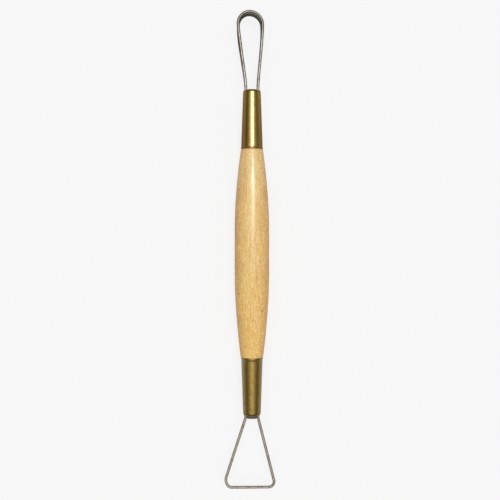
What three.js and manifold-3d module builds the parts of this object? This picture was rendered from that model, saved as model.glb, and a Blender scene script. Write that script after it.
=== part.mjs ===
// A double-ended wire tool for trimming clay: a turned hardwood handle with a tenon at each end,
// a brass ferrule over each tenon, and a steel wire held in each ferrule by its two legs, which
// lie in grooves in the tenon and are set in a plug of adhesive. One wire is a pear-shaped loop
// that widens into a flat band at its crown, the other is a triangle with rounded corners.
//
// Sizes are in millimetres. +X runs along the tool towards the pear loop, +Y runs across it in
// the plane of both wires, and +Z is up. The origin is under the middle of the handle, on the
// surface that the tool lies on. Each end is drawn in a frame of its own: x = 0 at the mouth of
// the ferrule, +x out of it along the wire, and the tool's axis along y = z = 0.

import * as THREE from 'three';
import { mergeVertices } from 'three/addons/utils/BufferGeometryUtils.js';
import Module from 'manifold-3d';

// Handle
const HANDLE_LENGTH = 88.1; // the wood that shows between the ferrules
const HANDLE_DIAMETER = 14.7;
const HANDLE_END_DIAMETER = 9.4;
const HANDLE_STRAIGHT_LENGTH = 18; // the cylindrical stretch in the middle
const HANDLE_TAPER_POWER = 1.75; // 1 would be a straight cone, 2 a parabola
const HANDLE_EDGE_CHAMFER = 0.25;
const REST_FLAT_WIDTH = 4; // planed under the handle, so that the tool lies still
const TENON_LENGTH = 17;
const TENON_TIP_CHAMFER = 0.4;

// Ferrules, alike but for the rim rolled at the wood
const FERRULE_LENGTH = 25;
const FERRULE_MOUTH_DIAMETER = 7.5;
const FERRULE_WOOD_END_DIAMETER = 9.25;
const FERRULE_WALL = 0.4;
const SHOULDER_LENGTH = 1; // the rounded edge at the mouth, along the axis
const SHOULDER_DROP = 0.3; // and across it
const LOOP_RIM_LENGTH = 0.4;
const TRIANGLE_RIM_LENGTH = 0.95;
const RIM_HEIGHT = 0.08;
const RIM_GROOVE_WIDTH = 0.3;
const RIM_GROOVE_DEPTH = 0.08;

// Both wires
const LEG_LENGTH_INSIDE = 18; // from the mouth down into the ferrule

// Pear loop
const LOOP_REACH = 34.1; // from the mouth to the outside of the crown
const LOOP_WIDTH = 11.7; // outside, at its widest
const LOOP_THICKNESS = 1.25; // in the plane of the loop
const LOOP_LEG_DEPTH = 1.5; // across that plane, at the ferrule
const LOOP_CROWN_DEPTH = 4.7; // across that plane, at the crown
const LOOP_DEPTH_POWER = 1.4; // 1 would widen it evenly from ferrule to crown
const LOOP_NECK_EASE = 5; // how far each leg's first bend reaches from the mouth
const LOOP_SHOULDER_EASE = 7.5; // how far the last bend reaches down from the widest point
const LOOP_LEAN_DEG = 1.8; // towards +Y

// Triangle
const TRIANGLE_REACH = 31; // from the mouth to the outside of the bar
const TRIANGLE_WIDTH = 21.8; // outside, corner to corner
const TRIANGLE_WIRE_DIAMETER = 1.2;
const TRIANGLE_CORNER_RADIUS = 2.3; // on the wire's centre line
const TRIANGLE_BEND_HEIGHT = 0.6; // where the legs spread, above the mouth
const TRIANGLE_BEND_LENGTH = 4;
const TRIANGLE_LEAN_DEG = 1.7; // towards +Y

// Adhesive
const LOOP_FILLER_RECESS = 0.35; // its face lies below the mouth
const TRIANGLE_FILLER_HEIGHT = 1; // its face stands above the mouth
const FILLER_EDGE_RADIUS = 0.4;

// Clearances
const FIT_CLEARANCE = 0.15; // between pieces that fit into one another
const SEAT_GAP = 0.2; // between end faces that meet

// Fineness of the facets
const ROUND_SEGMENTS = 48;
const TAPER_STEPS = 8;
const SHOULDER_STEPS = 4;
const FILLER_EDGE_STEPS = 3;
const WIRE_SIDES = 12;
const LOOP_STEPS = 96;
const TRIANGLE_STEPS = 120;
const MERGE_DISTANCE = 1e-4;

// Places that follow from the sizes
const MOUTH_X = HANDLE_LENGTH / 2 + SEAT_GAP + FERRULE_LENGTH;
const AXIS_HEIGHT = Math.sqrt((HANDLE_DIAMETER / 2) ** 2 - (REST_FLAT_WIDTH / 2) ** 2);
const TENON_TIP = TENON_LENGTH - SEAT_GAP - FERRULE_LENGTH; // in the end's own frame

const wasm = await Module();
wasm.setup();

// A closed geometry as a solid that can be cut.
function solidOf(geometry) {
  const bare = geometry.clone();
  bare.deleteAttribute('normal');
  bare.deleteAttribute('uv');
  const merged = mergeVertices(bare, MERGE_DISTANCE);
  return new wasm.Manifold(
    new wasm.Mesh({
      numProp: 3,
      vertProperties: merged.attributes.position.array,
      triVerts: new Uint32Array(merged.index.array),
    }),
  );
}

// A cut solid as a geometry again.
function geometryOf(solid) {
  const mesh = solid.getMesh();
  const geometry = new THREE.BufferGeometry();
  geometry.setAttribute('position', new THREE.BufferAttribute(mesh.vertProperties, 3));
  geometry.setIndex(new THREE.BufferAttribute(mesh.triVerts, 1));
  const facets = geometry.toNonIndexed();
  facets.computeVertexNormals();
  return facets;
}

// A piece turned about the x axis. The profile is a list of [x, radius] pairs.
function turned(profile) {
  const points = profile.map(([x, radius]) => new THREE.Vector2(radius, x));
  const halfFacet = Math.PI / ROUND_SEGMENTS; // turns the middle of a facet down
  return new THREE.LatheGeometry(points, ROUND_SEGMENTS, halfFacet).rotateZ(-Math.PI / 2);
}

// The outside radius of the handle at a distance along it from its middle.
function handleRadius(x) {
  const straight = HANDLE_STRAIGHT_LENGTH / 2;
  const share = Math.max(0, (Math.abs(x) - straight) / (HANDLE_LENGTH / 2 - straight));
  const drop = (HANDLE_DIAMETER - HANDLE_END_DIAMETER) / 2;
  return HANDLE_DIAMETER / 2 - drop * share ** HANDLE_TAPER_POWER;
}

// The outside and inside radius of a ferrule at x in its end's frame, where x is 0 at the mouth.
function ferruleOuterRadius(x) {
  return THREE.MathUtils.lerp(FERRULE_MOUTH_DIAMETER, FERRULE_WOOD_END_DIAMETER, -x / FERRULE_LENGTH) / 2;
}
function ferruleInnerRadius(x) {
  return ferruleOuterRadius(x) - FERRULE_WALL;
}

// Half of the handle's profile, from the straight stretch out to the tip of the tenon.
function handleHalfProfile() {
  const straight = HANDLE_STRAIGHT_LENGTH / 2;
  const shoulder = HANDLE_LENGTH / 2;
  const edge = shoulder - HANDLE_EDGE_CHAMFER;
  const tip = shoulder + TENON_LENGTH;
  const tenonRadius = (x) => ferruleInnerRadius(x - MOUTH_X) - FIT_CLEARANCE;
  const profile = [];
  for (let i = 0; i <= TAPER_STEPS; i++) {
    const x = THREE.MathUtils.lerp(straight, edge, i / TAPER_STEPS);
    profile.push([x, handleRadius(x)]);
  }
  profile.push([shoulder, handleRadius(shoulder) - HANDLE_EDGE_CHAMFER]);
  profile.push([shoulder, tenonRadius(shoulder)]);
  profile.push([tip - TENON_TIP_CHAMFER, tenonRadius(tip - TENON_TIP_CHAMFER)]);
  profile.push([tip, tenonRadius(tip) - TENON_TIP_CHAMFER]);
  profile.push([tip, 0]);
  return profile;
}

// The turned handle with its tenons and its rest flat, and in each tenon the grooves for the legs
// of a wire.
function handleGeometry(loopCutter, triangleCutter) {
  const half = handleHalfProfile();
  const otherHalf = half.map(([x, radius]) => [-x, radius]).reverse();
  const blank = solidOf(turned([...otherHalf, ...half])).trimByPlane([0, 0, 1], -AXIS_HEIGHT);
  const loopGrooves = solidOf(loopCutter.clone().translate(MOUTH_X, 0, 0));
  const triangleGrooves = solidOf(triangleCutter.clone().rotateZ(Math.PI).translate(-MOUTH_X, 0, 0));
  return geometryOf(blank.subtract(loopGrooves).subtract(triangleGrooves));
}

// A ferrule: a cone of sheet brass, rounded at the mouth, with a groove and a raised rim at the wood.
function ferruleGeometry(rimLength) {
  const woodEnd = -FERRULE_LENGTH;
  const rimStart = woodEnd + rimLength;
  const grooveStart = rimStart + RIM_GROOVE_WIDTH;
  const rimRadius = ferruleOuterRadius(woodEnd) + RIM_HEIGHT;
  const profile = [
    [woodEnd, ferruleInnerRadius(woodEnd)],
    [woodEnd, rimRadius - RIM_HEIGHT],
    [woodEnd + RIM_HEIGHT, rimRadius],
    [rimStart - RIM_HEIGHT, rimRadius],
    [rimStart + RIM_GROOVE_WIDTH / 2, ferruleOuterRadius(grooveStart) - RIM_GROOVE_DEPTH],
    [grooveStart, ferruleOuterRadius(grooveStart)],
  ];
  for (let i = 0; i <= SHOULDER_STEPS; i++) {
    const turn = ((i / SHOULDER_STEPS) * Math.PI) / 2;
    const x = SHOULDER_LENGTH * (Math.sin(turn) - 1);
    profile.push([x, ferruleOuterRadius(x) - SHOULDER_DROP * (1 - Math.cos(turn))]);
  }
  profile.push([0, ferruleInnerRadius(0)]);
  profile.push(profile[0]);
  return turned(profile);
}

// The distance of a leg from the axis, at x inside the ferrule, where it lies along the wall.
function legOffset(x, thickness) {
  return ferruleInnerRadius(x) - FIT_CLEARANCE - thickness / 2;
}

// The outline of the pear loop's centre line: up one leg, round the crown and down the other.
function loopOutline(legLength) {
  const neck = legOffset(0, LOOP_THICKNESS);
  const foot = legOffset(-legLength, LOOP_THICKNESS);
  const radius = (LOOP_WIDTH - LOOP_THICKNESS) / 2;
  const centre = LOOP_REACH - LOOP_WIDTH / 2;
  const easeEnd = centre - LOOP_SHOULDER_EASE;
  const outline = new THREE.Path();
  outline.moveTo(-legLength, foot);
  outline.lineTo(0, neck);
  outline.bezierCurveTo(LOOP_NECK_EASE, neck, easeEnd, radius, centre, radius);
  outline.absarc(centre, 0, radius, Math.PI / 2, -Math.PI / 2, true);
  outline.bezierCurveTo(easeEnd, -radius, LOOP_NECK_EASE, -neck, 0, -neck);
  outline.lineTo(-legLength, -foot);
  return outline;
}

// The outline of the triangle's centre line: up one leg, round both corners and down the other.
function triangleOutline(legLength) {
  const half = TRIANGLE_WIRE_DIAMETER / 2;
  const foot = legOffset(-legLength, TRIANGLE_WIRE_DIAMETER);
  const neck = legOffset(0, TRIANGLE_WIRE_DIAMETER);
  const cornerX = TRIANGLE_REACH - half - TRIANGLE_CORNER_RADIUS;
  const cornerY = TRIANGLE_WIDTH / 2 - half - TRIANGLE_CORNER_RADIUS;
  // Each leg is the straight line from its bend that touches the corner's circle on the outside.
  const bend = new THREE.Vector2(TRIANGLE_BEND_HEIGHT, neck);
  const toCorner = new THREE.Vector2(cornerX, cornerY).sub(bend);
  const slope = toCorner.angle() + Math.asin(TRIANGLE_CORNER_RADIUS / toCorner.length());
  const bendEndX = bend.x + (TRIANGLE_BEND_LENGTH / 2) * Math.cos(slope);
  const bendEndY = bend.y + (TRIANGLE_BEND_LENGTH / 2) * Math.sin(slope);
  const bendStartX = bend.x - TRIANGLE_BEND_LENGTH / 2;
  const bendStartY = legOffset(bendStartX, TRIANGLE_WIRE_DIAMETER);
  const cornerTurn = Math.PI / 2 + slope;
  const outline = new THREE.Path();
  outline.moveTo(-legLength, foot);
  outline.lineTo(bendStartX, bendStartY);
  outline.quadraticCurveTo(bend.x, bend.y, bendEndX, bendEndY);
  outline.absarc(cornerX, cornerY, TRIANGLE_CORNER_RADIUS, cornerTurn, 0, true);
  outline.absarc(cornerX, -cornerY, TRIANGLE_CORNER_RADIUS, 0, -cornerTurn, true);
  outline.lineTo(bendEndX, -bendEndY);
  outline.quadraticCurveTo(bend.x, -bend.y, bendStartX, -bendStartY);
  outline.lineTo(-legLength, -foot);
  return outline;
}

// The outline as a curve in space, leaning sideways above the mouth.
function leaningRoute(outline, steps, leanDegrees) {
  const lean = Math.tan(THREE.MathUtils.degToRad(leanDegrees));
  const points = outline
    .getSpacedPoints(steps)
    .map((point) => new THREE.Vector3(point.x, point.y + Math.max(0, point.x) * lean, 0));
  return new THREE.CatmullRomCurve3(points);
}

// A wire swept along a route: a round section, drawn out across the route's plane to its depth.
function sweptWire(route, steps, thickness, depth) {
  const reach = thickness / 2 / Math.cos(Math.PI / WIRE_SIDES);
  const drawnOut = (depth - thickness) / 2;
  const corners = [];
  for (let i = 0; i < WIRE_SIDES; i++) {
    const turn = ((i + 0.5) / WIRE_SIDES) * 2 * Math.PI;
    const across = reach * Math.cos(turn);
    corners.push(new THREE.Vector2(across + Math.sign(across) * drawnOut, reach * Math.sin(turn)));
  }
  return new THREE.ExtrudeGeometry(new THREE.Shape(corners), {
    steps,
    extrudePath: route,
    bevelEnabled: false,
  });
}

// The pear loop, or with a clearance the room that it takes: a band at the crown, and thinner
// across its plane the nearer it is to the ferrule.
function loopGeometry(clearance) {
  const route = leaningRoute(loopOutline(LEG_LENGTH_INSIDE + clearance), LOOP_STEPS, LOOP_LEAN_DEG);
  const thickness = LOOP_THICKNESS + 2 * clearance;
  const geometry = sweptWire(route, LOOP_STEPS, thickness, LOOP_CROWN_DEPTH + 2 * clearance);
  const position = geometry.attributes.position;
  for (let i = 0; i < position.count; i++) {
    const share = THREE.MathUtils.clamp(position.getX(i) / LOOP_REACH, 0, 1);
    const widening = share ** LOOP_DEPTH_POWER;
    const narrower = ((LOOP_CROWN_DEPTH - LOOP_LEG_DEPTH) / 2) * (1 - widening);
    const z = position.getZ(i);
    position.setZ(i, z - Math.sign(z) * narrower);
  }
  return geometry;
}

// The triangle, or with a clearance the room that it takes.
function triangleGeometry(clearance) {
  const outline = triangleOutline(LEG_LENGTH_INSIDE + clearance);
  const route = leaningRoute(outline, TRIANGLE_STEPS, -TRIANGLE_LEAN_DEG); // its end is turned round
  const thickness = TRIANGLE_WIRE_DIAMETER + 2 * clearance;
  return sweptWire(route, TRIANGLE_STEPS, thickness, thickness);
}

// The adhesive that fills a ferrule from the tenon's tip to near the mouth, round the wire's legs.
function fillerGeometry(face, cutter) {
  const base = TENON_TIP + SEAT_GAP;
  const edge = face - FILLER_EDGE_RADIUS;
  const plugRadius = (x) => ferruleInnerRadius(Math.min(x, 0)) - FIT_CLEARANCE;
  const profile = [[base, 0], [base, plugRadius(base)]];
  if (edge > 0) profile.push([0, plugRadius(0)]);
  for (let i = 0; i <= FILLER_EDGE_STEPS; i++) {
    const turn = ((i / FILLER_EDGE_STEPS) * Math.PI) / 2;
    const inset = FILLER_EDGE_RADIUS * (1 - Math.cos(turn));
    profile.push([edge + FILLER_EDGE_RADIUS * Math.sin(turn), plugRadius(edge) - inset]);
  }
  profile.push([face, 0]);
  return geometryOf(solidOf(turned(profile)).subtract(solidOf(cutter)));
}

function piece(name, geometry, material) {
  const mesh = new THREE.Mesh(geometry, material);
  mesh.name = name;
  return mesh;
}

function metal(color, roughness) {
  return new THREE.MeshStandardMaterial({ color, roughness, metalness: 1 });
}

const lacqueredWood = new THREE.MeshStandardMaterial({ color: 0xe3bd7c, roughness: 0.35, metalness: 0 });
const loopBrass = metal(0xb08d3f, 0.3);
const triangleBrass = metal(0xa0843f, 0.4);
const loopSteel = metal(0x8f8c82, 0.25);
const triangleSteel = metal(0xa59c8c, 0.5);
const adhesive = new THREE.MeshStandardMaterial({ color: 0x534a40, roughness: 0.5, metalness: 0 });

const loopRoom = loopGeometry(FIT_CLEARANCE);
const triangleRoom = triangleGeometry(FIT_CLEARANCE);

const handle = piece('handle', handleGeometry(loopRoom, triangleRoom), lacqueredWood);
handle.position.z = AXIS_HEIGHT;

const loopEnd = new THREE.Group();
loopEnd.position.set(MOUTH_X, 0, AXIS_HEIGHT);
loopEnd.add(
  piece('loop_ferrule', ferruleGeometry(LOOP_RIM_LENGTH), loopBrass),
  piece('cutting_loop', loopGeometry(0), loopSteel),
  piece('loop_end_filler', fillerGeometry(-LOOP_FILLER_RECESS, loopRoom), adhesive),
);

const triangleEnd = new THREE.Group();
triangleEnd.position.set(-MOUTH_X, 0, AXIS_HEIGHT);
triangleEnd.rotation.z = Math.PI;
triangleEnd.add(
  piece('triangle_ferrule', ferruleGeometry(TRIANGLE_RIM_LENGTH), triangleBrass),
  piece('triangle_wire', triangleGeometry(0), triangleSteel),
  piece('triangle_end_filler', fillerGeometry(TRIANGLE_FILLER_HEIGHT, triangleRoom), adhesive),
);

const tool = new THREE.Group();
tool.add(handle, loopEnd, triangleEnd);

export default tool;
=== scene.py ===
# The look of a double-ended wire tool for trimming clay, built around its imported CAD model: a
# turned and lacquered hardwood handle, two brass ferrules, a pear-shaped steel loop, a steel
# triangle, and the dark adhesive in which the wires are set.
#
# Sizes are in millimetres, and a mesh is scaled to metres when it is made. Each end is drawn in a
# frame of its own, as in the CAD: x = 0 at the mouth of the CAD's ferrule, +x out of it along the
# wire, and the tool's axis along y = z = 0.

import math

import bpy
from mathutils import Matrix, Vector


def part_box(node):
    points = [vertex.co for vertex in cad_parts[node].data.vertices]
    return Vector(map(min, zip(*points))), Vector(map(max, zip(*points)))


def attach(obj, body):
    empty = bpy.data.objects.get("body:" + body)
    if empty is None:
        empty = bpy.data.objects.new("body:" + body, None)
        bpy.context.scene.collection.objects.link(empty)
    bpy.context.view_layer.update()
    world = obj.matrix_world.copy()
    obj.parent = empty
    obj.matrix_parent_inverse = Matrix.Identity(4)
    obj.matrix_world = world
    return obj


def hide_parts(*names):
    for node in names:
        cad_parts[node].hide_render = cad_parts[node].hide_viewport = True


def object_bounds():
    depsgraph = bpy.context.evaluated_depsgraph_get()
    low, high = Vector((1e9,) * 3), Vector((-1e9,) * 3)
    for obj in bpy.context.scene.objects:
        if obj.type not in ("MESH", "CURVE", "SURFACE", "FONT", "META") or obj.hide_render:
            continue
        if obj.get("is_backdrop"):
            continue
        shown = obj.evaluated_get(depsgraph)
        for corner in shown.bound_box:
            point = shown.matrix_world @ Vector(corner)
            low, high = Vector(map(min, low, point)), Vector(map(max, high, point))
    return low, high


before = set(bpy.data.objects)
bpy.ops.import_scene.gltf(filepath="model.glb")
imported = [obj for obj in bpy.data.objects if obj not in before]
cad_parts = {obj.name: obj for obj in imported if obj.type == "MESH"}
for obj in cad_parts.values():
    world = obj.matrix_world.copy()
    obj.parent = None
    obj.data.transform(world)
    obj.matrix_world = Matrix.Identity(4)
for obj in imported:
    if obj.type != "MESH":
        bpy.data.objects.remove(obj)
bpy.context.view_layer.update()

MM = 0.001

# Places and sizes taken from the frame
handle_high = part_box("handle")[1] / MM
ferrule_low, ferrule_high = (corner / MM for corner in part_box("loop_ferrule"))
triangle_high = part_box("triangle_wire")[1] / MM
AXIS_HEIGHT = (ferrule_low.z + ferrule_high.z) / 2
MOUTH_X = ferrule_high.x
WOOD_END_X = ferrule_low.x
FERRULE_LENGTH = MOUTH_X - WOOD_END_X
HANDLE_RADIUS = handle_high.y
TENON_END_X = handle_high.x
TRIANGLE_FAR_CORNER_Y = triangle_high.y

# Fits inside the ferrules
SEAT_GAP = 0.2
FIT_CLEARANCE = 0.15
LEG_LENGTH_INSIDE = 18

# Handle. It stops just short of the loop's ferrule and meets the triangle's.
LOOP_END_X = WOOD_END_X - SEAT_GAP
LOOP_END_RADIUS = 4.7
LOOP_TAPER_POWER = 1.92
TRIANGLE_END_X = WOOD_END_X
TRIANGLE_END_RADIUS = 4.8
TRIANGLE_TAPER_POWER = 1.75
HANDLE_STRAIGHT_HALF = 9
HANDLE_EDGE_RADIUS = 0.25
TENON_TIP_CHAMFER = 0.4
GAP_SHADOW_FADE = 0.02

# One small brown spot in the wood, towards the triangle
SPOT_PLACE = (-24.2, -4.2, AXIS_HEIGHT + 5.3)
SPOT_SIZE = (0.6, 0.22, 1.2)
SPOT_BEARING = math.radians(125)

# Ferrules
MOUTH_RADIUS = 3.75
WOOD_END_RADIUS = 4.625
FERRULE_WALL = 0.4
SHOULDER_LENGTH = 0.9
SHOULDER_DROP = 0.2
LIP_LENGTH = 0.18
LIP_DROP = 0.19
RIM_HEIGHT = 0.08
LOOP_RIM = {"length": 0.4, "groove_width": 0.3, "groove_depth": 0.02}
TRIANGLE_RIM = {"length": 0.95, "groove_width": 0.5, "groove_depth": 0.14}
LOOP_MOUTH = -0.22
TRIANGLE_MOUTH = -0.45

# Where a ferrule's flanks start and where they reach their full look, from its middle
FLANK_START = 2
FLANK_FULL = 4

# Adhesive
FILLER_ABOVE_LIP = 0.12
FILLER_EDGE_DEPTH = 0.05
FILLER_EDGE_POWER = 12
FILLER_CLEARANCE = 0.01
BEAD_SLOPE_WIDTH = 0.4
LOOP_FILLER_FACE = -0.6
TRIANGLE_FILLER_FACE = 0.7
TRIANGLE_FACE_DROP = 0.2
TRIANGLE_BEAD_HALF_WIDTH = 1.9

# Pear loop
LOOP_REACH = 33.35
LOOP_WIDTH = 11.7
LOOP_THICKNESS = 1.25
LOOP_LEG_DEPTH = 1.5
LOOP_CROWN_DEPTH = 4.7
LOOP_DEPTH_POWER = 1.4
LOOP_NECK_EASE = 5
LOOP_SHOULDER_EASE = 7.5
LOOP_LEAN_DEG = 1.8
LOOP_LEFT_LEG_INSET = 0.25
LOOP_TWIST_DEG = 4
LOOP_BAND_TILT = [
    # share of the wire's length from the foot on the +y side, degrees by which the top leans out
    (0.0, 0),
    (0.165, 0),
    (0.21, -9),
    (0.35, -9),
    (0.45, 7),
    (0.54, 6.5),
    (0.64, 0),
    (1.0, 0),
]
BAND_HOLLOW = 0.08
CROWN_START_X = MOUTH_X + LOOP_REACH - LOOP_WIDTH
CROWN_FADE = 5
# Where the painted highlight line runs below the crown's rim, and how far it strays
PAINTED_LINE_DEPTH = 1.15
PAINTED_LINE_STRAY = 0.1

# Triangle
TRIANGLE_REACH = 31
TRIANGLE_WIDTH = 21.7
TRIANGLE_WIRE_DIAMETER = 1.2
TRIANGLE_CORNER_RADIUS = 2.3
TRIANGLE_WIDE_CORNER_RADIUS = 4.2
TRIANGLE_WIDENS_AT = math.radians(55)
TRIANGLE_BEND_HEIGHT = 0.6
TRIANGLE_BEND_LENGTH = 4
TRIANGLE_LEAN_DEG = 1.7
TRIANGLE_BAR_TILT_DEG = 0.5
NO_TILT = [(0, 0), (1, 0)]

# Fineness of the meshes
ROUND_SEGMENTS = 144
WIRE_SIDES = 32
WIRE_STEP = 0.4
CURVE_STEPS = 64
SHARP_ANGLE = math.radians(40)


def blend_between(start, end, share):
    return start + (end - start) * share


def smooth_step(value):
    held = min(1, max(0, value))
    return held * held * (3 - 2 * held)


def read_table(table, place):
    """The number that a table of (place, number) gives at a place, smooth between its lines."""
    for (start, number), (end, next_number) in zip(table, table[1:]):
        if place <= end:
            share = smooth_step((place - start) / (end - start))
            return blend_between(number, next_number, share)
    return table[-1][1]


# Meshes


def circle(radius):
    """Places (y, z) round the x axis, or the one on it where the radius is 0."""
    count = ROUND_SEGMENTS if radius > 0 else 1
    turns = [2 * math.pi * i / count for i in range(count)]
    return [(radius * math.sin(turn), -radius * math.cos(turn)) for turn in turns]


class Surface:
    """Points, faces, and for each point where it would lie on the piece if that were straight.

    On a wire that is the distance along it, across it, and below its upper or lower rim.
    """

    def __init__(self):
        self.points = []
        self.straight = []
        self.faces = []

    def add_ring(self, points, straight):
        """Adds points, and gives their numbers in the surface."""
        first = len(self.points)
        self.points += points
        self.straight += straight
        return list(range(first, len(self.points)))

    def add_circle(self, x, radius):
        points = [Vector((x, y, z)) for y, z in circle(radius)]
        return self.add_ring(points, points)

    def join(self, ring, next_ring):
        """Faces between two rings. A ring of one point is a pole."""
        count = max(len(ring), len(next_ring))
        for i in range(count):
            corners = [
                ring[i % len(ring)],
                ring[(i + 1) % len(ring)],
                next_ring[(i + 1) % len(next_ring)],
                next_ring[i % len(next_ring)],
            ]
            self.faces.append(list(dict.fromkeys(corners)))

    def join_all(self, rings):
        for ring, next_ring in zip(rings, rings[1:]):
            self.join(ring, next_ring)

    def volume(self):
        total = 0
        for face in self.faces:
            first = self.points[face[0]]
            for b, c in zip(face[1:], face[2:]):
                total += first.dot(self.points[b].cross(self.points[c]))
        return total / 6

    def face_outwards(self):
        if self.volume() < 0:
            self.faces = [face[::-1] for face in self.faces]


def turned(profile, closed=False):
    """A surface turned about the x axis from a list of (x, radius) pairs."""
    surface = Surface()
    rings = [surface.add_circle(x, radius) for x, radius in profile]
    surface.join_all(rings)
    if closed:
        surface.join(rings[-1], rings[0])
    surface.face_outwards()
    return surface


def swept(route, section, tilt_table):
    """A surface swept along a route in the plane z = 0. section(x) gives its (across, up) outline.

    tilt_table gives the degrees by which the top of the section leans out, along the route.
    """
    surface = Surface()
    rings = []
    along = 0
    last = len(route) - 1
    for i, point in enumerate(route):
        before = route[max(0, i - 1)]
        after = route[min(last, i + 1)]
        heading = (after - before).normalized()
        outwards = Vector((-heading.y, heading.x, 0))
        if i > 0:
            along += (point - before).length
        tilt = math.radians(read_table(tilt_table, i / last))
        outline = section(point.x)
        rim = max(up for across, up in outline)
        points = []
        straight = []
        for across, up in outline:
            tilted_across = across * math.cos(tilt) + up * math.sin(tilt)
            tilted_up = up * math.cos(tilt) - across * math.sin(tilt)
            points.append(point + outwards * tilted_across + Vector((0, 0, tilted_up)))
            straight.append(Vector((along, across, rim - abs(up))))
        rings.append(surface.add_ring(points, straight))
    surface.join_all(rings)
    for end, ring in ((route[0], rings[0][::-1]), (route[-1], rings[-1])):
        centre = surface.add_ring([end.copy()], [Vector((0, 0, 0))])
        surface.join(centre, ring)
    surface.face_outwards()
    return surface


def at_loop_end(point):
    """From the loop end's own frame to the tool's."""
    return Vector((point.x + MOUTH_X, point.y, point.z + AXIS_HEIGHT))


def at_triangle_end(point):
    """From the triangle end's own frame to the tool's."""
    return Vector((-point.x - MOUTH_X, -point.y, point.z + AXIS_HEIGHT))


def lying(point):
    """From the handle's axis to the tool's frame, with the flat on which the handle rests."""
    return Vector((point.x, point.y, max(0, point.z + AXIS_HEIGHT)))


def make_piece(name, surface, place, material, node):
    """A piece of the tool, which stands for a node of the CAD."""
    mesh = bpy.data.meshes.new(name)
    mesh.from_pydata([place(point) * MM for point in surface.points], [], surface.faces)
    straight = mesh.attributes.new("straight", "FLOAT_VECTOR", "POINT")
    straight.data.foreach_set("vector", [value for point in surface.straight for value in point])
    mesh.materials.append(material)
    mesh.shade_smooth()
    mesh.set_sharp_from_angle(angle=SHARP_ANGLE)
    piece = bpy.data.objects.new(name, mesh)
    bpy.context.scene.collection.objects.link(piece)
    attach(piece, "root")
    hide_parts(node)


# Shapes


def ferrule_outer_radius(x):
    """At x in an end's own frame, from the mouth to the wood."""
    return blend_between(MOUTH_RADIUS, WOOD_END_RADIUS, -x / FERRULE_LENGTH)


def ferrule_inner_radius(x):
    return ferrule_outer_radius(x) - FERRULE_WALL


def tenon_radius(x):
    """At x along the tool, inside the ferrule."""
    return ferrule_inner_radius(x - MOUTH_X) - FIT_CLEARANCE


def handle_half(end_x, end_radius, taper_power):
    """From the handle's middle, over its taper and its turned edge, to the tip of the tenon."""
    taper_steps = 48
    edge_steps = 5
    edge_x = end_x - HANDLE_EDGE_RADIUS
    half = [(0, HANDLE_RADIUS)]
    for i in range(taper_steps + 1):
        share = i / taper_steps
        x = blend_between(HANDLE_STRAIGHT_HALF, edge_x, share)
        drop = (HANDLE_RADIUS - end_radius) * share ** taper_power
        half.append((x, HANDLE_RADIUS - drop))
    for i in range(1, edge_steps + 1):
        turn = math.pi / 2 * i / edge_steps
        x = edge_x + HANDLE_EDGE_RADIUS * math.sin(turn)
        half.append((x, end_radius - HANDLE_EDGE_RADIUS * (1 - math.cos(turn))))
    tip_x = TENON_END_X - TENON_TIP_CHAMFER
    half += [
        (end_x, tenon_radius(end_x)),
        (tip_x, tenon_radius(tip_x)),
        (TENON_END_X, tenon_radius(TENON_END_X) - TENON_TIP_CHAMFER),
        (TENON_END_X, 0),
    ]
    return half


def handle_surface():
    """One turned piece, with a tenon at each end."""
    loop_half = handle_half(LOOP_END_X, LOOP_END_RADIUS, LOOP_TAPER_POWER)
    triangle_half = handle_half(TRIANGLE_END_X, TRIANGLE_END_RADIUS, TRIANGLE_TAPER_POWER)
    return turned([(-x, radius) for x, radius in reversed(triangle_half[1:])] + loop_half)


def ferrule_surface(rim, mouth):
    """A cone of sheet brass, with a rolled rim and a groove at the wood.

    At the mouth it has a rounded shoulder and a chamfered lip.
    """
    rim_steps = 10
    cone_steps = 24
    shoulder_steps = 12
    lip_steps = 4
    wood_end = -FERRULE_LENGTH
    profile = [(wood_end, ferrule_inner_radius(wood_end))]
    for i in range(rim_steps + 1):
        share = i / rim_steps
        x = wood_end + rim["length"] * share
        swell = RIM_HEIGHT * math.sin(math.pi * share) ** 0.5
        profile.append((x, ferrule_outer_radius(x) + swell))
    rim_end = wood_end + rim["length"]
    for i in range(1, rim_steps):
        share = i / rim_steps
        x = rim_end + rim["groove_width"] * share
        depth = rim["groove_depth"] * math.sin(math.pi * share)
        profile.append((x, ferrule_outer_radius(x) - depth))
    cone_start = rim_end + rim["groove_width"]
    lip_start = mouth - LIP_LENGTH
    shoulder_start = lip_start - SHOULDER_LENGTH
    for i in range(cone_steps + 1):
        x = blend_between(cone_start, shoulder_start, i / cone_steps)
        profile.append((x, ferrule_outer_radius(x)))
    for i in range(1, shoulder_steps + 1):
        share = i / shoulder_steps
        x = shoulder_start + SHOULDER_LENGTH * share
        profile.append((x, ferrule_outer_radius(x) - SHOULDER_DROP * share ** 2))
    lip_radius = ferrule_outer_radius(lip_start) - SHOULDER_DROP
    for i in range(1, lip_steps + 1):
        share = i / lip_steps
        profile.append((lip_start + LIP_LENGTH * share, lip_radius - LIP_DROP * share))
    profile.append((shoulder_start, ferrule_inner_radius(shoulder_start)))
    return turned(profile, closed=True)


def leg_offset(x, thickness):
    """How far a leg lies from the axis at x, inside the ferrule, where it runs along the wall."""
    return ferrule_inner_radius(x) - FIT_CLEARANCE - thickness / 2


def bezier(points, steps):
    """Points along the cubic curve that four control points give."""
    a, b, c, d = points
    curve = []
    for i in range(steps + 1):
        t = i / steps
        s = 1 - t
        curve.append(a * s ** 3 + b * 3 * s * s * t + c * 3 * s * t * t + d * t ** 3)
    return curve


def arc(centre, radius, start, end, steps):
    """Points along an arc from the angle start to the angle end."""
    curve = []
    for i in range(steps + 1):
        turn = blend_between(start, end, i / steps)
        curve.append(centre + Vector((radius * math.cos(turn), radius * math.sin(turn), 0)))
    return curve


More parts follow.
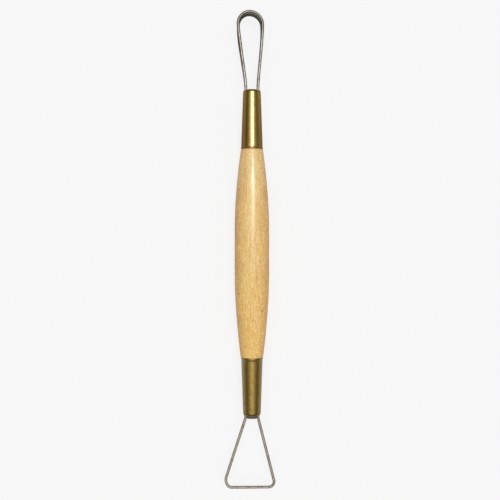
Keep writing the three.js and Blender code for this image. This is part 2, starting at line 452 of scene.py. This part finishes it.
def evenly_spaced(points, step):
    """The same line with points an even step apart."""
    lengths = [0]
    for a, b in zip(points, points[1:]):
        lengths.append(lengths[-1] + (b - a).length)
    count = round(lengths[-1] / step)
    spaced = []
    segment = 0
    for i in range(count + 1):
        target = lengths[-1] * i / count
        while segment < len(points) - 2 and lengths[segment + 1] < target:
            segment += 1
        span = lengths[segment + 1] - lengths[segment]
        share = (target - lengths[segment]) / span if span else 0
        spaced.append(points[segment].lerp(points[segment + 1], share))
    return spaced


def whole_route(left_half, right_half, lean_degrees):
    """A wire that leans above the mouth, from its two halves, both drawn on the +y side."""
    other_half = [Vector((point.x, -point.y, 0)) for point in reversed(right_half[:-1])]
    lean = math.tan(math.radians(lean_degrees))
    route = evenly_spaced(left_half + other_half, WIRE_STEP)
    return [Vector((point.x, point.y + max(0, point.x) * lean, 0)) for point in route]


def loop_route():
    """The pear loop's line. Its left leg is bent in a little."""
    neck = leg_offset(0, LOOP_THICKNESS)
    foot = leg_offset(-LEG_LENGTH_INSIDE, LOOP_THICKNESS)
    radius = (LOOP_WIDTH - LOOP_THICKNESS) / 2
    centre = LOOP_REACH - LOOP_WIDTH / 2
    half = [Vector((-LEG_LENGTH_INSIDE, foot, 0))]
    bend = [
        Vector((0, neck, 0)),
        Vector((LOOP_NECK_EASE, neck, 0)),
        Vector((centre - LOOP_SHOULDER_EASE, radius, 0)),
        Vector((centre, radius, 0)),
    ]
    half += bezier(bend, CURVE_STEPS)
    half += arc(Vector((centre, 0, 0)), radius, math.pi / 2, 0, CURVE_STEPS)[1:]
    left_half = []
    for point in half:
        inset = smooth_step(point.x / LOOP_NECK_EASE) * smooth_step(point.y / radius)
        left_half.append(Vector((point.x, point.y - LOOP_LEFT_LEG_INSET * inset, 0)))
    return whole_route(left_half, half, LOOP_LEAN_DEG)


def triangle_half(leg_side_radius):
    """From the foot to the middle of the bar. The corner may bend more gently on the leg's side."""
    radius = TRIANGLE_WIRE_DIAMETER / 2
    outwards = Vector((math.cos(TRIANGLE_WIDENS_AT), math.sin(TRIANGLE_WIDENS_AT), 0))
    widening = leg_side_radius - TRIANGLE_CORNER_RADIUS
    corner = Vector((
        TRIANGLE_REACH - radius - TRIANGLE_CORNER_RADIUS,
        TRIANGLE_WIDTH / 2 - radius - leg_side_radius + widening * outwards.y,
        0,
    ))
    leg_side = corner - outwards * widening
    bend = Vector((TRIANGLE_BEND_HEIGHT, leg_offset(0, TRIANGLE_WIRE_DIAMETER), 0))
    to_corner = leg_side - bend
    slope = math.atan2(to_corner.y, to_corner.x)
    slope += math.asin(leg_side_radius / to_corner.length)
    reach = TRIANGLE_BEND_LENGTH / 2
    bend_end = bend + Vector((math.cos(slope), math.sin(slope), 0)) * reach
    bend_start_x = bend.x - reach
    bend_start = Vector((bend_start_x, leg_offset(bend_start_x, TRIANGLE_WIRE_DIAMETER), 0))
    foot = leg_offset(-LEG_LENGTH_INSIDE, TRIANGLE_WIRE_DIAMETER)
    half = [Vector((-LEG_LENGTH_INSIDE, foot, 0))]
    half += bezier([bend_start, bend, bend, bend_end], CURVE_STEPS)
    half += arc(leg_side, leg_side_radius, math.pi / 2 + slope, TRIANGLE_WIDENS_AT, CURVE_STEPS)
    half += arc(corner, TRIANGLE_CORNER_RADIUS, TRIANGLE_WIDENS_AT, 0, CURVE_STEPS)[1:]
    half.append(Vector((TRIANGLE_REACH - radius, 0, 0)))
    return half


def triangle_route():
    """The triangle's line. One of its corners is wider than the other."""
    narrow_half = triangle_half(TRIANGLE_CORNER_RADIUS)
    wide_half = triangle_half(TRIANGLE_WIDE_CORNER_RADIUS)
    return whole_route(narrow_half, wide_half, -TRIANGLE_LEAN_DEG)


def loop_section(x):
    """The outline of the loop's section: round-edged, and the deeper the nearer to the crown."""
    share = min(1, max(0, x / LOOP_REACH)) ** LOOP_DEPTH_POWER
    depth = blend_between(LOOP_LEG_DEPTH, LOOP_CROWN_DEPTH, share)
    half_thickness = LOOP_THICKNESS / 2
    flat_half = (depth - LOOP_THICKNESS) / 2
    edge_steps = 12
    face_steps = 10
    outline = []
    for side in (1, -1):
        for i in range(edge_steps + 1):
            turn = math.pi * i / edge_steps
            outline.append((
                side * half_thickness * math.cos(turn),
                side * (flat_half + half_thickness * math.sin(turn)),
            ))
        for i in range(1, face_steps):
            up = blend_between(flat_half, -flat_half, i / face_steps)
            hollow = BAND_HOLLOW * share * math.sin(math.pi * i / face_steps)
            outline.append((side * (hollow - half_thickness), side * up))
    return outline


def triangle_section(_):
    """The outline of a round wire, the same everywhere."""
    radius = TRIANGLE_WIRE_DIAMETER / 2
    turns = [2 * math.pi * i / WIRE_SIDES for i in range(WIRE_SIDES)]
    return [(radius * math.cos(turn), radius * math.sin(turn)) for turn in turns]


def twisted_loop(point):
    """The loop is turned a little about the tool's axis, the more the nearer to the crown."""
    twist = math.radians(LOOP_TWIST_DEG) * smooth_step(point.x / LOOP_REACH)
    return at_loop_end(Vector((
        point.x,
        point.y * math.cos(twist) - point.z * math.sin(twist),
        point.y * math.sin(twist) + point.z * math.cos(twist),
    )))


def tilted_triangle(point):
    """The bar isn't quite square to the tool: it turns about its corner on the tool's +y side."""
    share = max(0, point.x) / TRIANGLE_REACH
    tilt = math.tan(math.radians(TRIANGLE_BAR_TILT_DEG)) * share
    from_far_corner = point.y + TRIANGLE_FAR_CORNER_Y
    return at_triangle_end(Vector((point.x - from_far_corner * tilt, point.y, point.z)))


def filler_surface(mouth, face, edge_drop, bead_half_width, menisci):
    """A plug of adhesive. Its face is level at x = face, and drops by edge_drop at its edge.

    Beside the bead between the legs it is no higher than just above the ferrule's lip. menisci
    lists (y, z, height, reach) for the adhesive that has crept up each leg, and a leg counts as a
    round wire there.
    """
    base = TENON_END_X - MOUTH_X + SEAT_GAP
    low_face = mouth + FILLER_ABOVE_LIP
    edge_x = min(low_face, face - edge_drop) - FILLER_EDGE_DEPTH
    face_radius = ferrule_inner_radius(0)
    face_steps = 40
    surface = Surface()
    rings = []
    for k in range(face_steps + 1):
        radius = face_radius * k / face_steps
        level = face - edge_drop * (radius / face_radius) ** FILLER_EDGE_POWER
        points = []
        for y, z in circle(radius):
            beside_bead = smooth_step((abs(y) - bead_half_width) / BEAD_SLOPE_WIDTH)
            x = blend_between(level, min(level, low_face), beside_bead)
            for leg_y, leg_z, height, reach in menisci:
                gap = math.hypot(y - leg_y, z - leg_z) - TRIANGLE_WIRE_DIAMETER / 2
                x += height * math.exp(-max(0, gap) / reach)
            points.append(Vector((x, y, z)))
        rings.append(surface.add_ring(points, points))
    for x in (edge_x, base):
        rings.append(surface.add_circle(x, ferrule_inner_radius(x) - FILLER_CLEARANCE))
    rings.append(surface.add_circle(base, 0))
    surface.join_all(rings)
    surface.face_outwards()
    return surface


# Materials

# Most values of a noise lie between these two
NOISE_LOW = 0.3
NOISE_HIGH = 0.7

# The Mix node has several sockets of each name, and these are the ones for colours
MIX_FIRST_INPUT = 6
MIX_SECOND_INPUT = 7
MIX_OUTPUT = 2


def colour(red, green, blue):
    """A linear colour from the 0 to 255 values of a screen."""
    def linear(value):
        value /= 255
        return value / 12.92 if value <= 0.04045 else ((value + 0.055) / 1.055) ** 2.4
    return (linear(red), linear(green), linear(blue), 1)


def grey(level):
    """A linear grey."""
    return (level, level, level, 1)


class Recipe:
    """A node material, with short names for the nodes that it is made of."""

    def __init__(self, name):
        self.material = bpy.data.materials.new(name)
        self.material.use_nodes = True
        self.tree = self.material.node_tree
        self.shader = self.tree.nodes["Principled BSDF"]

    def node(self, kind, **settings):
        node = self.tree.nodes.new(kind)
        for name, value in settings.items():
            setattr(node, name, value)
        return node

    def plug(self, socket, value):
        """Links a node's output to the socket, or gives the socket a plain value."""
        if isinstance(value, bpy.types.NodeSocket):
            self.tree.links.new(value, socket)
        else:
            socket.default_value = value

    def shade(self, **values):
        """Gives the shader its colour, roughness and so on."""
        for name, value in values.items():
            self.plug(self.shader.inputs[name.replace("_", " ")], value)

    def place(self):
        """The place on the object in millimetres."""
        scaled = self.node("ShaderNodeVectorMath", operation="SCALE")
        self.plug(scaled.inputs[0], self.node("ShaderNodeTexCoord").outputs["Object"])
        self.plug(scaled.inputs["Scale"], 1 / MM)
        return scaled.outputs[0]

    def straight(self):
        """Where the place would lie if the piece were straight, in millimetres."""
        return self.node("ShaderNodeAttribute", attribute_name="straight").outputs["Vector"]

    def split(self, vector):
        node = self.node("ShaderNodeSeparateXYZ")
        self.plug(node.inputs[0], vector)
        return node.outputs

    def noise(self, vector, size, detail=2, roughness=0.5):
        """Noise from 0 to 1, whose spots measure size along x, y and z."""
        scaled = self.node("ShaderNodeVectorMath", operation="DIVIDE")
        self.plug(scaled.inputs[0], vector)
        self.plug(scaled.inputs[1], size)
        node = self.node("ShaderNodeTexNoise")
        self.plug(node.inputs["Vector"], scaled.outputs[0])
        self.plug(node.inputs["Scale"], 1)
        self.plug(node.inputs["Detail"], detail)
        self.plug(node.inputs["Roughness"], roughness)
        return node.outputs["Fac"]

    def stretch(self, value, low, high, to_low=0, to_high=1):
        """The value, stretched from low..high to to_low..to_high and held there."""
        node = self.node("ShaderNodeMapRange")
        for name, number in (
            ("Value", value),
            ("From Min", low),
            ("From Max", high),
            ("To Min", to_low),
            ("To Max", to_high),
        ):
            self.plug(node.inputs[name], number)
        return node.outputs["Result"]

    def vary(self, noise, at_low, at_high):
        """A number that follows the noise, from at_low in its hollows to at_high on its peaks."""
        return self.stretch(noise, NOISE_LOW, NOISE_HIGH, at_low, at_high)

    def calculate(self, operation, *values):
        node = self.node("ShaderNodeMath", operation=operation)
        for socket, value in zip(node.inputs, values):
            self.plug(socket, value)
        return node.outputs[0]

    def mix(self, share, first, second):
        node = self.node("ShaderNodeMix", data_type="RGBA")
        self.plug(node.inputs["Factor"], share)
        self.plug(node.inputs[MIX_FIRST_INPUT], first)
        self.plug(node.inputs[MIX_SECOND_INPUT], second)
        return node.outputs[MIX_OUTPUT]

    def layer(self, body, tint, pattern, start, full, share=1):
        """The body under a tint, none of it where the pattern is start and share of it at full."""
        return self.mix(self.stretch(pattern, start, full, 0, share), body, tint)

    def bump(self, height, depth, normal=None):
        """A surface that rises by depth millimetres where height is 1."""
        node = self.node("ShaderNodeBump")
        self.plug(node.inputs["Height"], height)
        self.plug(node.inputs["Distance"], depth * MM)
        if normal is not None:
            self.plug(node.inputs["Normal"], normal)
        return node.outputs["Normal"]

    def from_spot(self, vector, centre, size, bearing):
        """The distance from a spot's centre, in units of its size along x, y and z."""
        mapping = self.node("ShaderNodeMapping", vector_type="TEXTURE")
        self.plug(mapping.inputs["Vector"], vector)
        self.plug(mapping.inputs["Location"], centre)
        self.plug(mapping.inputs["Rotation"], (0, 0, bearing))
        self.plug(mapping.inputs["Scale"], size)
        distance = self.node("ShaderNodeVectorMath", operation="LENGTH")
        self.plug(distance.inputs[0], mapping.outputs["Vector"])
        return distance.outputs["Value"]


def lacquered_wood():
    """Pale straight-grained hardwood under a clear lacquer."""
    wood = Recipe("lacquered_wood")
    place = wood.place()
    x, y, z = wood.split(place)

    # Paler at the loop end and warmer at the triangle end, in large soft patches
    patches = wood.noise(place, (14, 6, 6))
    toward_loop = wood.calculate("ADD", x, wood.vary(patches, -25, 25))
    warmth = wood.stretch(toward_loop, -45, 40, 1, 0)
    body = wood.mix(warmth, colour(232, 198, 125), colour(230, 181, 88))

    # Painted shade: deeper orange on the flanks, by the angle from the handle's top or bottom
    above_axis = wood.calculate("ABSOLUTE", wood.calculate("SUBTRACT", z, AXIS_HEIGHT))
    around = wood.calculate("ARCTAN2", wood.calculate("ABSOLUTE", y), above_axis)
    around = wood.calculate("ADD", around, wood.vary(patches, -0.2, 0.2))
    painted_flank_colour = wood.mix(warmth, colour(182, 108, 26), colour(200, 126, 36))
    body = wood.layer(body, painted_flank_colour, around, start=0.4, full=1.15, share=0.9)

    # Growth rings lie level, so they show as broad patches above and as fine lines on the sides
    rings = wood.noise(place, (46, 6, 0.9))
    body = wood.layer(body, colour(212, 148, 62), rings, start=0.48, full=0.68, share=0.45)

    # Orange streaks and fine lengthwise threads, both darker and paler than the wood around them
    streaks = wood.noise(place, (14, 0.7, 0.7))
    body = wood.layer(body, colour(208, 140, 54), streaks, start=0.54, full=0.68, share=0.7)
    threads = wood.noise(place, (4, 0.2, 0.2))
    body = wood.layer(body, colour(205, 142, 60), threads, start=0.5, full=0.67, share=0.7)
    body = wood.layer(body, colour(248, 223, 160), threads, start=0.48, full=0.34, share=0.6)

    # Pale flecks along the grain, faint short rays across it, and dark pores
    flecks = wood.noise(place, (0.7, 0.17, 0.17), detail=3, roughness=0.65)
    body = wood.layer(body, colour(253, 231, 170), flecks, start=0.5, full=0.65, share=0.75)
    rays = wood.noise(place, (0.17, 0.4, 0.4), detail=1)
    body = wood.layer(body, colour(253, 230, 168), rays, start=0.52, full=0.68, share=0.5)
    pores = wood.noise(place, (1.1, 0.16, 0.16), detail=1)
    body = wood.layer(body, colour(180, 116, 48), pores, start=0.61, full=0.77, share=0.5)

    # Orange where the turned edge meets the loop's ferrule, and dark in the gap behind that edge
    from_edge = wood.calculate("SUBTRACT", LOOP_END_X, x)
    from_edge = wood.calculate("ADD", from_edge, wood.vary(flecks, -0.12, 0.12))
    body = wood.layer(body, colour(208, 142, 72), from_edge, start=0.65, full=0.4, share=0.8)
    gap_start = LOOP_END_X - GAP_SHADOW_FADE
    gap_full = LOOP_END_X + GAP_SHADOW_FADE
    body = wood.layer(body, colour(96, 62, 28), x, gap_start, gap_full)

    # The small brown spot
    distance = wood.from_spot(place, SPOT_PLACE, SPOT_SIZE, SPOT_BEARING)
    body = wood.layer(body, colour(140, 84, 40), distance, start=1.1, full=0.5, share=0.85)

    # The lacquer shines most near the loop's ferrule, and least on the flanks
    lacquer = wood.stretch(toward_loop, -30, 20, 0.02, 0.36)
    lacquer = wood.calculate("ADD", lacquer, wood.stretch(x, 23, 34, 0, 0.6))
    lacquer = wood.calculate("MULTIPLY", lacquer, wood.stretch(around, 0.4, 1.1, 1, 0.25))

    grain = wood.noise(place, (3, 0.16, 0.16))
    wood.shade(
        Base_Color=body,
        Roughness=wood.vary(flecks, 0.55, 0.42),
        Specular_IOR_Level=0.18,
        Normal=wood.bump(grain, 0.012, wood.bump(flecks, 0.01)),
        Coat_Weight=lacquer,
        Coat_IOR=1.8,
        Coat_Roughness=0.12,
        Coat_Normal=wood.bump(grain, 0.004, wood.bump(flecks, 0.006)),
    )
    return wood.material


def ferrule_brass(name, side, mouth, pale, brown, smooth, rough, painted_shade_colour, flank_painted_shade,
                  flank_shine, flank_lacquer, painted_highlight_share):
    """Satin brass: smooth pale specks between rough brown ones, with painted shade on the flanks
    and behind the mouth, and painted highlights on the lip and along a strip.

    side is 1 at the loop end and -1 at the triangle end, and painted_highlight_share is the share
    of pale brass painted as a highlight in the middle of a strip along the ferrule.
    """
    brass = Recipe(name)
    place = brass.place()
    x, y = brass.split(place)[:2]

    # Specks, and clouds in which they are denser
    clouds = brass.noise(place, (2.4, 1.6, 1.6), detail=3)
    speckle = brass.noise(place, (0.25, 0.2, 0.2), detail=3, roughness=0.65)
    clouded = brass.calculate("ADD", speckle, brass.vary(clouds, -0.03, 0.03))
    speck_share = brass.stretch(clouded, 0.36, 0.62)
    body = brass.mix(speck_share, pale, brown)

    # Painted shade on the flanks, and a painted highlight along the strip between them
    from_middle = brass.calculate("ABSOLUTE", y)
    body = brass.layer(body, painted_shade_colour, from_middle, FLANK_START, FLANK_FULL, flank_painted_shade)
    painted_highlight_strip = brass.stretch(from_middle, 0.1, 1.1, painted_highlight_share, 0)
    body = brass.mix(painted_highlight_strip, body, colour(240, 222, 168))

    # Painted shade on the shoulder behind the mouth, and a painted highlight on the lip
    from_mouth = brass.calculate("SUBTRACT", MOUTH_X + mouth, brass.calculate("MULTIPLY", x, side))
    from_mouth = brass.calculate("ADD", from_mouth, brass.vary(speckle, -0.06, 0.06))
    body = brass.layer(body, painted_shade_colour, from_mouth, start=1.2, full=0.5, share=0.8)
    body = brass.layer(body, colour(196, 170, 112), from_mouth, start=0.3, full=LIP_LENGTH)

    # Thin lacquer, with more of it on the flanks and on the strip of painted highlight
    coat = brass.stretch(from_middle, FLANK_START, FLANK_FULL, 0.2, flank_lacquer)
    coat = brass.calculate("ADD", coat, brass.calculate("MULTIPLY", painted_highlight_strip, 1.8))

    drawn_lines = brass.noise(place, (6, 0.12, 0.12))
    surface = brass.bump(speckle, 0.005, brass.bump(drawn_lines, 0.003))
    brass.shade(
        Base_Color=body,
        Metallic=1.0,
        Specular_Tint=flank_shine,
        Roughness=brass.stretch(speck_share, 0, 1, smooth, rough),
        Normal=surface,
        Coat_Weight=coat,
        Coat_Roughness=0.15,
        Coat_Normal=surface,
    )
    return brass.material


def drawn_steel(name, bright, dull, stain, painted_side_shade, smooth, rough):
    """Steel wire with the long marks of the die, dull stains, and painted shade on its sides, which
    are darker than its rims.

    The layers for the pear loop's crown leave the rest of the loop and the triangle as they are.
    """
    steel = Recipe(name)
    straight = steel.straight()
    across, below_rim = steel.split(straight)[1:]
    place = steel.place()
    x, _, z = steel.split(place)
    crown = steel.stretch(x, CROWN_START_X, CROWN_START_X + CROWN_FADE)

    # Marks of the die, stains and specks, and a crown turned darker towards the stain colour
    lines = steel.noise(straight, (9, 0.11, 0.11))
    stains = steel.noise(place, (2.2, 2.2, 2.2), detail=3)
    specks = steel.noise(straight, (0.5, 0.2, 0.2), detail=3, roughness=0.7)
    body = steel.layer(bright, dull, lines, start=0.35, full=0.65)
    body = steel.layer(body, stain, stains, start=0.45, full=0.68, share=0.75)
    body = steel.layer(body, stain, specks, start=0.56, full=0.75, share=0.5)
    body = steel.mix(steel.calculate("MULTIPLY", crown, 0.6), body, stain)

    # Painted shade on the sides, from just below either rim
    below_rim_edge = steel.calculate("ADD", below_rim, steel.stretch(specks, 0, 1, -0.1, 0.1))
    body = steel.layer(body, painted_side_shade, below_rim_edge, start=0.35, full=0.7)

    # A painted highlight: a pale line along the inside of the crown
    shallow = PAINTED_LINE_DEPTH - PAINTED_LINE_STRAY
    deep = PAINTED_LINE_DEPTH + PAINTED_LINE_STRAY
    from_line = steel.calculate("SUBTRACT", below_rim, steel.vary(lines, shallow, deep))
    from_line = steel.calculate("ABSOLUTE", from_line)
    painted_highlight_line = steel.calculate("MULTIPLY", steel.stretch(from_line, 0.06, 0.24, 1, 0), crown)
    inner_face = steel.stretch(across, -0.3, 0, 1, 0)
    body = steel.mix(steel.calculate("MULTIPLY", painted_highlight_line, inner_face), body, colour(235, 232, 222))

    # Painted shade: the lower half of the crown is plain dark grey
    painted_lower_shade = steel.stretch(z, AXIS_HEIGHT - 0.4, AXIS_HEIGHT + 0.4, 1, 0)
    body = steel.mix(steel.calculate("MULTIPLY", painted_lower_shade, crown), body, colour(94, 93, 92))

    steel.shade(
        Base_Color=body,
        Metallic=1.0,
        Specular_Tint=grey(0.3),
        Roughness=steel.vary(specks, smooth, rough),
        Normal=steel.bump(lines, 0.004, steel.bump(specks, 0.004)),
    )
    return steel.material


def dark_adhesive():
    """Set resin, clouded and slightly dusty."""
    resin = Recipe("adhesive")
    place = resin.place()
    clouds = resin.noise(place, (1.1, 1.1, 1.1), detail=3)
    dust = resin.noise(place, (0.18, 0.18, 0.18))
    body = resin.layer(colour(62, 54, 50), colour(84, 74, 64), clouds, start=0.35, full=0.65)
    body = resin.layer(body, colour(124, 112, 98), dust, start=0.6, full=0.75, share=0.4)
    resin.shade(
        Base_Color=body,
        Specular_IOR_Level=0.3,
        Roughness=resin.vary(dust, 0.35, 0.5),
        Normal=resin.bump(clouds, 0.08, resin.bump(dust, 0.01)),
    )
    return resin.material


def floor_paper():
    """Pale paper. Seen directly or in a reflection it is whiter, and so its shadows are paler."""
    paper = Recipe("floor")
    fibres = paper.noise(paper.place(), (3, 3, 3))
    paper.shade(
        Base_Color=paper.mix(fibres, grey(0.69), grey(0.71)),
        Roughness=0.8,
        Specular_IOR_Level=0.2,
    )
    whitening = 0.8
    rays = paper.node("ShaderNodeLightPath").outputs
    seen = paper.calculate("MAXIMUM", rays["Is Camera Ray"], rays["Is Glossy Ray"])
    seen = paper.calculate("MAXIMUM", seen, rays["Is Transmission Ray"])
    mixed = paper.node("ShaderNodeMixShader")
    paper.plug(mixed.inputs[0], paper.calculate("MULTIPLY", seen, whitening))
    paper.plug(mixed.inputs[1], paper.shader.outputs[0])
    paper.plug(mixed.inputs[2], paper.node("ShaderNodeEmission").outputs[0])
    paper.plug(paper.tree.nodes["Material Output"].inputs["Surface"], mixed.outputs[0])
    return paper.material


# The handle
make_piece(
    "turned_handle",
    handle_surface(),
    lying,
    lacquered_wood(),
    node="handle",
)

# The ferrules
loop_brass = ferrule_brass(
    "loop_brass",
    side=1,
    mouth=LOOP_MOUTH,
    pale=colour(184, 160, 88),
    brown=colour(114, 83, 23),
    smooth=0.2,
    rough=0.38,
    painted_shade_colour=colour(96, 58, 16),
    flank_painted_shade=0.8,
    flank_shine=(0.66, 0.54, 0.38, 1),
    flank_lacquer=0.3,
    painted_highlight_share=0.3,
)
triangle_brass = ferrule_brass(
    "triangle_brass",
    side=-1,
    mouth=TRIANGLE_MOUTH,
    pale=colour(158, 134, 72),
    brown=colour(108, 82, 30),
    smooth=0.32,
    rough=0.5,
    painted_shade_colour=colour(88, 62, 22),
    flank_painted_shade=0,
    flank_shine=(0.78, 0.64, 0.48, 1),
    flank_lacquer=0.9,
    painted_highlight_share=0,
)
make_piece(
    "loop_end_ferrule",
    ferrule_surface(LOOP_RIM, LOOP_MOUTH),
    at_loop_end,
    loop_brass,
    node="loop_ferrule",
)
make_piece(
    "triangle_end_ferrule",
    ferrule_surface(TRIANGLE_RIM, TRIANGLE_MOUTH),
    at_triangle_end,
    triangle_brass,
    node="triangle_ferrule",
)

# The pear loop and the triangle
loop_steel = drawn_steel(
    "loop_steel",
    bright=colour(156, 153, 143),
    dull=colour(130, 126, 114),
    stain=colour(98, 91, 74),
    painted_side_shade=colour(72, 71, 68),
    smooth=0.24,
    rough=0.38,
)
triangle_steel = drawn_steel(
    "triangle_steel",
    bright=colour(180, 172, 157),
    dull=colour(164, 156, 141),
    stain=colour(140, 131, 118),
    painted_side_shade=colour(140, 131, 119),
    smooth=0.54,
    rough=0.66,
)
make_piece(
    "pear_loop",
    swept(loop_route(), loop_section, LOOP_BAND_TILT),
    twisted_loop,
    loop_steel,
    node="cutting_loop",
)
make_piece(
    "wire_triangle",
    swept(triangle_route(), triangle_section, NO_TILT),
    tilted_triangle,
    triangle_steel,
    node="triangle_wire",
)

# The adhesive. Each meniscus is given as y and z of the leg, height, and reach from the leg.
adhesive = dark_adhesive()
loop_leg_y = leg_offset(0, LOOP_THICKNESS)
triangle_leg_y = leg_offset(0, TRIANGLE_WIRE_DIAMETER)
make_piece(
    "loop_adhesive",
    filler_surface(
        LOOP_MOUTH,
        LOOP_FILLER_FACE,
        edge_drop=0,
        bead_half_width=MOUTH_RADIUS,
        menisci=[(loop_leg_y, 0, 0.25, 0.25), (-loop_leg_y, 0, 0.2, 0.25)],
    ),
    at_loop_end,
    adhesive,
    node="loop_end_filler",
)
make_piece(
    "triangle_adhesive",
    filler_surface(
        TRIANGLE_MOUTH,
        TRIANGLE_FILLER_FACE,
        edge_drop=TRIANGLE_FACE_DROP,
        bead_half_width=TRIANGLE_BEAD_HALF_WIDTH,
        menisci=[(triangle_leg_y, -0.3, 0.3, 0.2), (-triangle_leg_y, -0.5, 0.8, 0.25)],
    ),
    at_triangle_end,
    adhesive,
    node="triangle_end_filler",
)

# The floor
FLOOR_HALF = 3000 * MM
floor_mesh = bpy.data.meshes.new("floor")
floor_corners = [(-1, -1), (1, -1), (1, 1), (-1, 1)]
floor_points = [(x * FLOOR_HALF, y * FLOOR_HALF, 0) for x, y in floor_corners]
floor_mesh.from_pydata(floor_points, [], [(0, 1, 2, 3)])
floor_mesh.materials.append(floor_paper())
floor = bpy.data.objects.new("floor", floor_mesh)
bpy.context.scene.collection.objects.link(floor)
floor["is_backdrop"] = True

# Light: two lamps, and surroundings that are bright above and at the horizon, and dark between
KEY_STRENGTH = 0.6
KEY_ANGLE = math.radians(20)
KEY_TOWARDS_RIGHT = math.radians(8)
KEY_TOWARDS_LOOP = math.radians(12)
FILL_STRENGTH = 0.1
FILL_ANGLE = math.radians(60)
FILL_TOWARDS_RIGHT = math.radians(52)
FILL_BEARING = math.radians(25)
SKY = [
    # sine of the elevation, brightness
    (0.0, 0.9),
    (0.1, 0.8),
    (0.24, 0.16),
    (0.56, 0.2),
    (0.755, 0.52),
    (0.89, 1.15),
    (0.97, 2.4),
    (1.0, 2.6),
]


def add_lamp(name, strength, angle, turn):
    """A distant lamp. Its light falls straight down until it is turned."""
    lamp = bpy.data.lights.new(name, "SUN")
    lamp.energy = strength
    lamp.angle = angle
    placed = bpy.data.objects.new(name, lamp)
    placed.rotation_euler = turn
    bpy.context.scene.collection.objects.link(placed)


add_lamp("key", KEY_STRENGTH, KEY_ANGLE, (KEY_TOWARDS_RIGHT, KEY_TOWARDS_LOOP, 0))
add_lamp("fill", FILL_STRENGTH, FILL_ANGLE, (FILL_TOWARDS_RIGHT, 0, FILL_BEARING))

world = bpy.data.worlds.new("studio")
world.use_nodes = True
bpy.context.scene.world = world
sky_nodes = world.node_tree.nodes
sky_links = world.node_tree.links
direction = sky_nodes.new("ShaderNodeTexCoord")
elevation = sky_nodes.new("ShaderNodeSeparateXYZ")
brightness = sky_nodes.new("ShaderNodeValToRGB")
while len(brightness.color_ramp.elements) < len(SKY):
    brightness.color_ramp.elements.new(1)
for element, (position, level) in zip(brightness.color_ramp.elements, SKY):
    element.position = position
    element.color = grey(level)
sky_links.new(direction.outputs["Generated"], elevation.inputs[0])
sky_links.new(elevation.outputs["Z"], brightness.inputs["Fac"])
sky_links.new(brightness.outputs["Color"], sky_nodes["Background"].inputs["Color"])

# Camera: straight above, with the loop end at the top of the picture
CAMERA_HEIGHT = 335
FRAME_SHARE = 0.955
SENSOR_WIDTH = 36
CLIP_START = 10
LOOP_END_UP = math.radians(-90)
visual_low, visual_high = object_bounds()
middle = (visual_low + visual_high) / 2
seen_length = (visual_high.x - visual_low.x) / MM / FRAME_SHARE
camera_data = bpy.data.cameras.new("camera")
camera_data.sensor_width = SENSOR_WIDTH
camera_data.lens = SENSOR_WIDTH * (CAMERA_HEIGHT - AXIS_HEIGHT) / seen_length
camera_data.clip_start = CLIP_START * MM
camera = bpy.data.objects.new("camera", camera_data)
camera.location = (middle.x, middle.y, CAMERA_HEIGHT * MM)
camera.rotation_euler = (0, 0, LOOP_END_UP)
bpy.context.scene.collection.objects.link(camera)
bpy.context.scene.camera = camera
bpy.context.scene.view_settings.view_transform = "Standard"
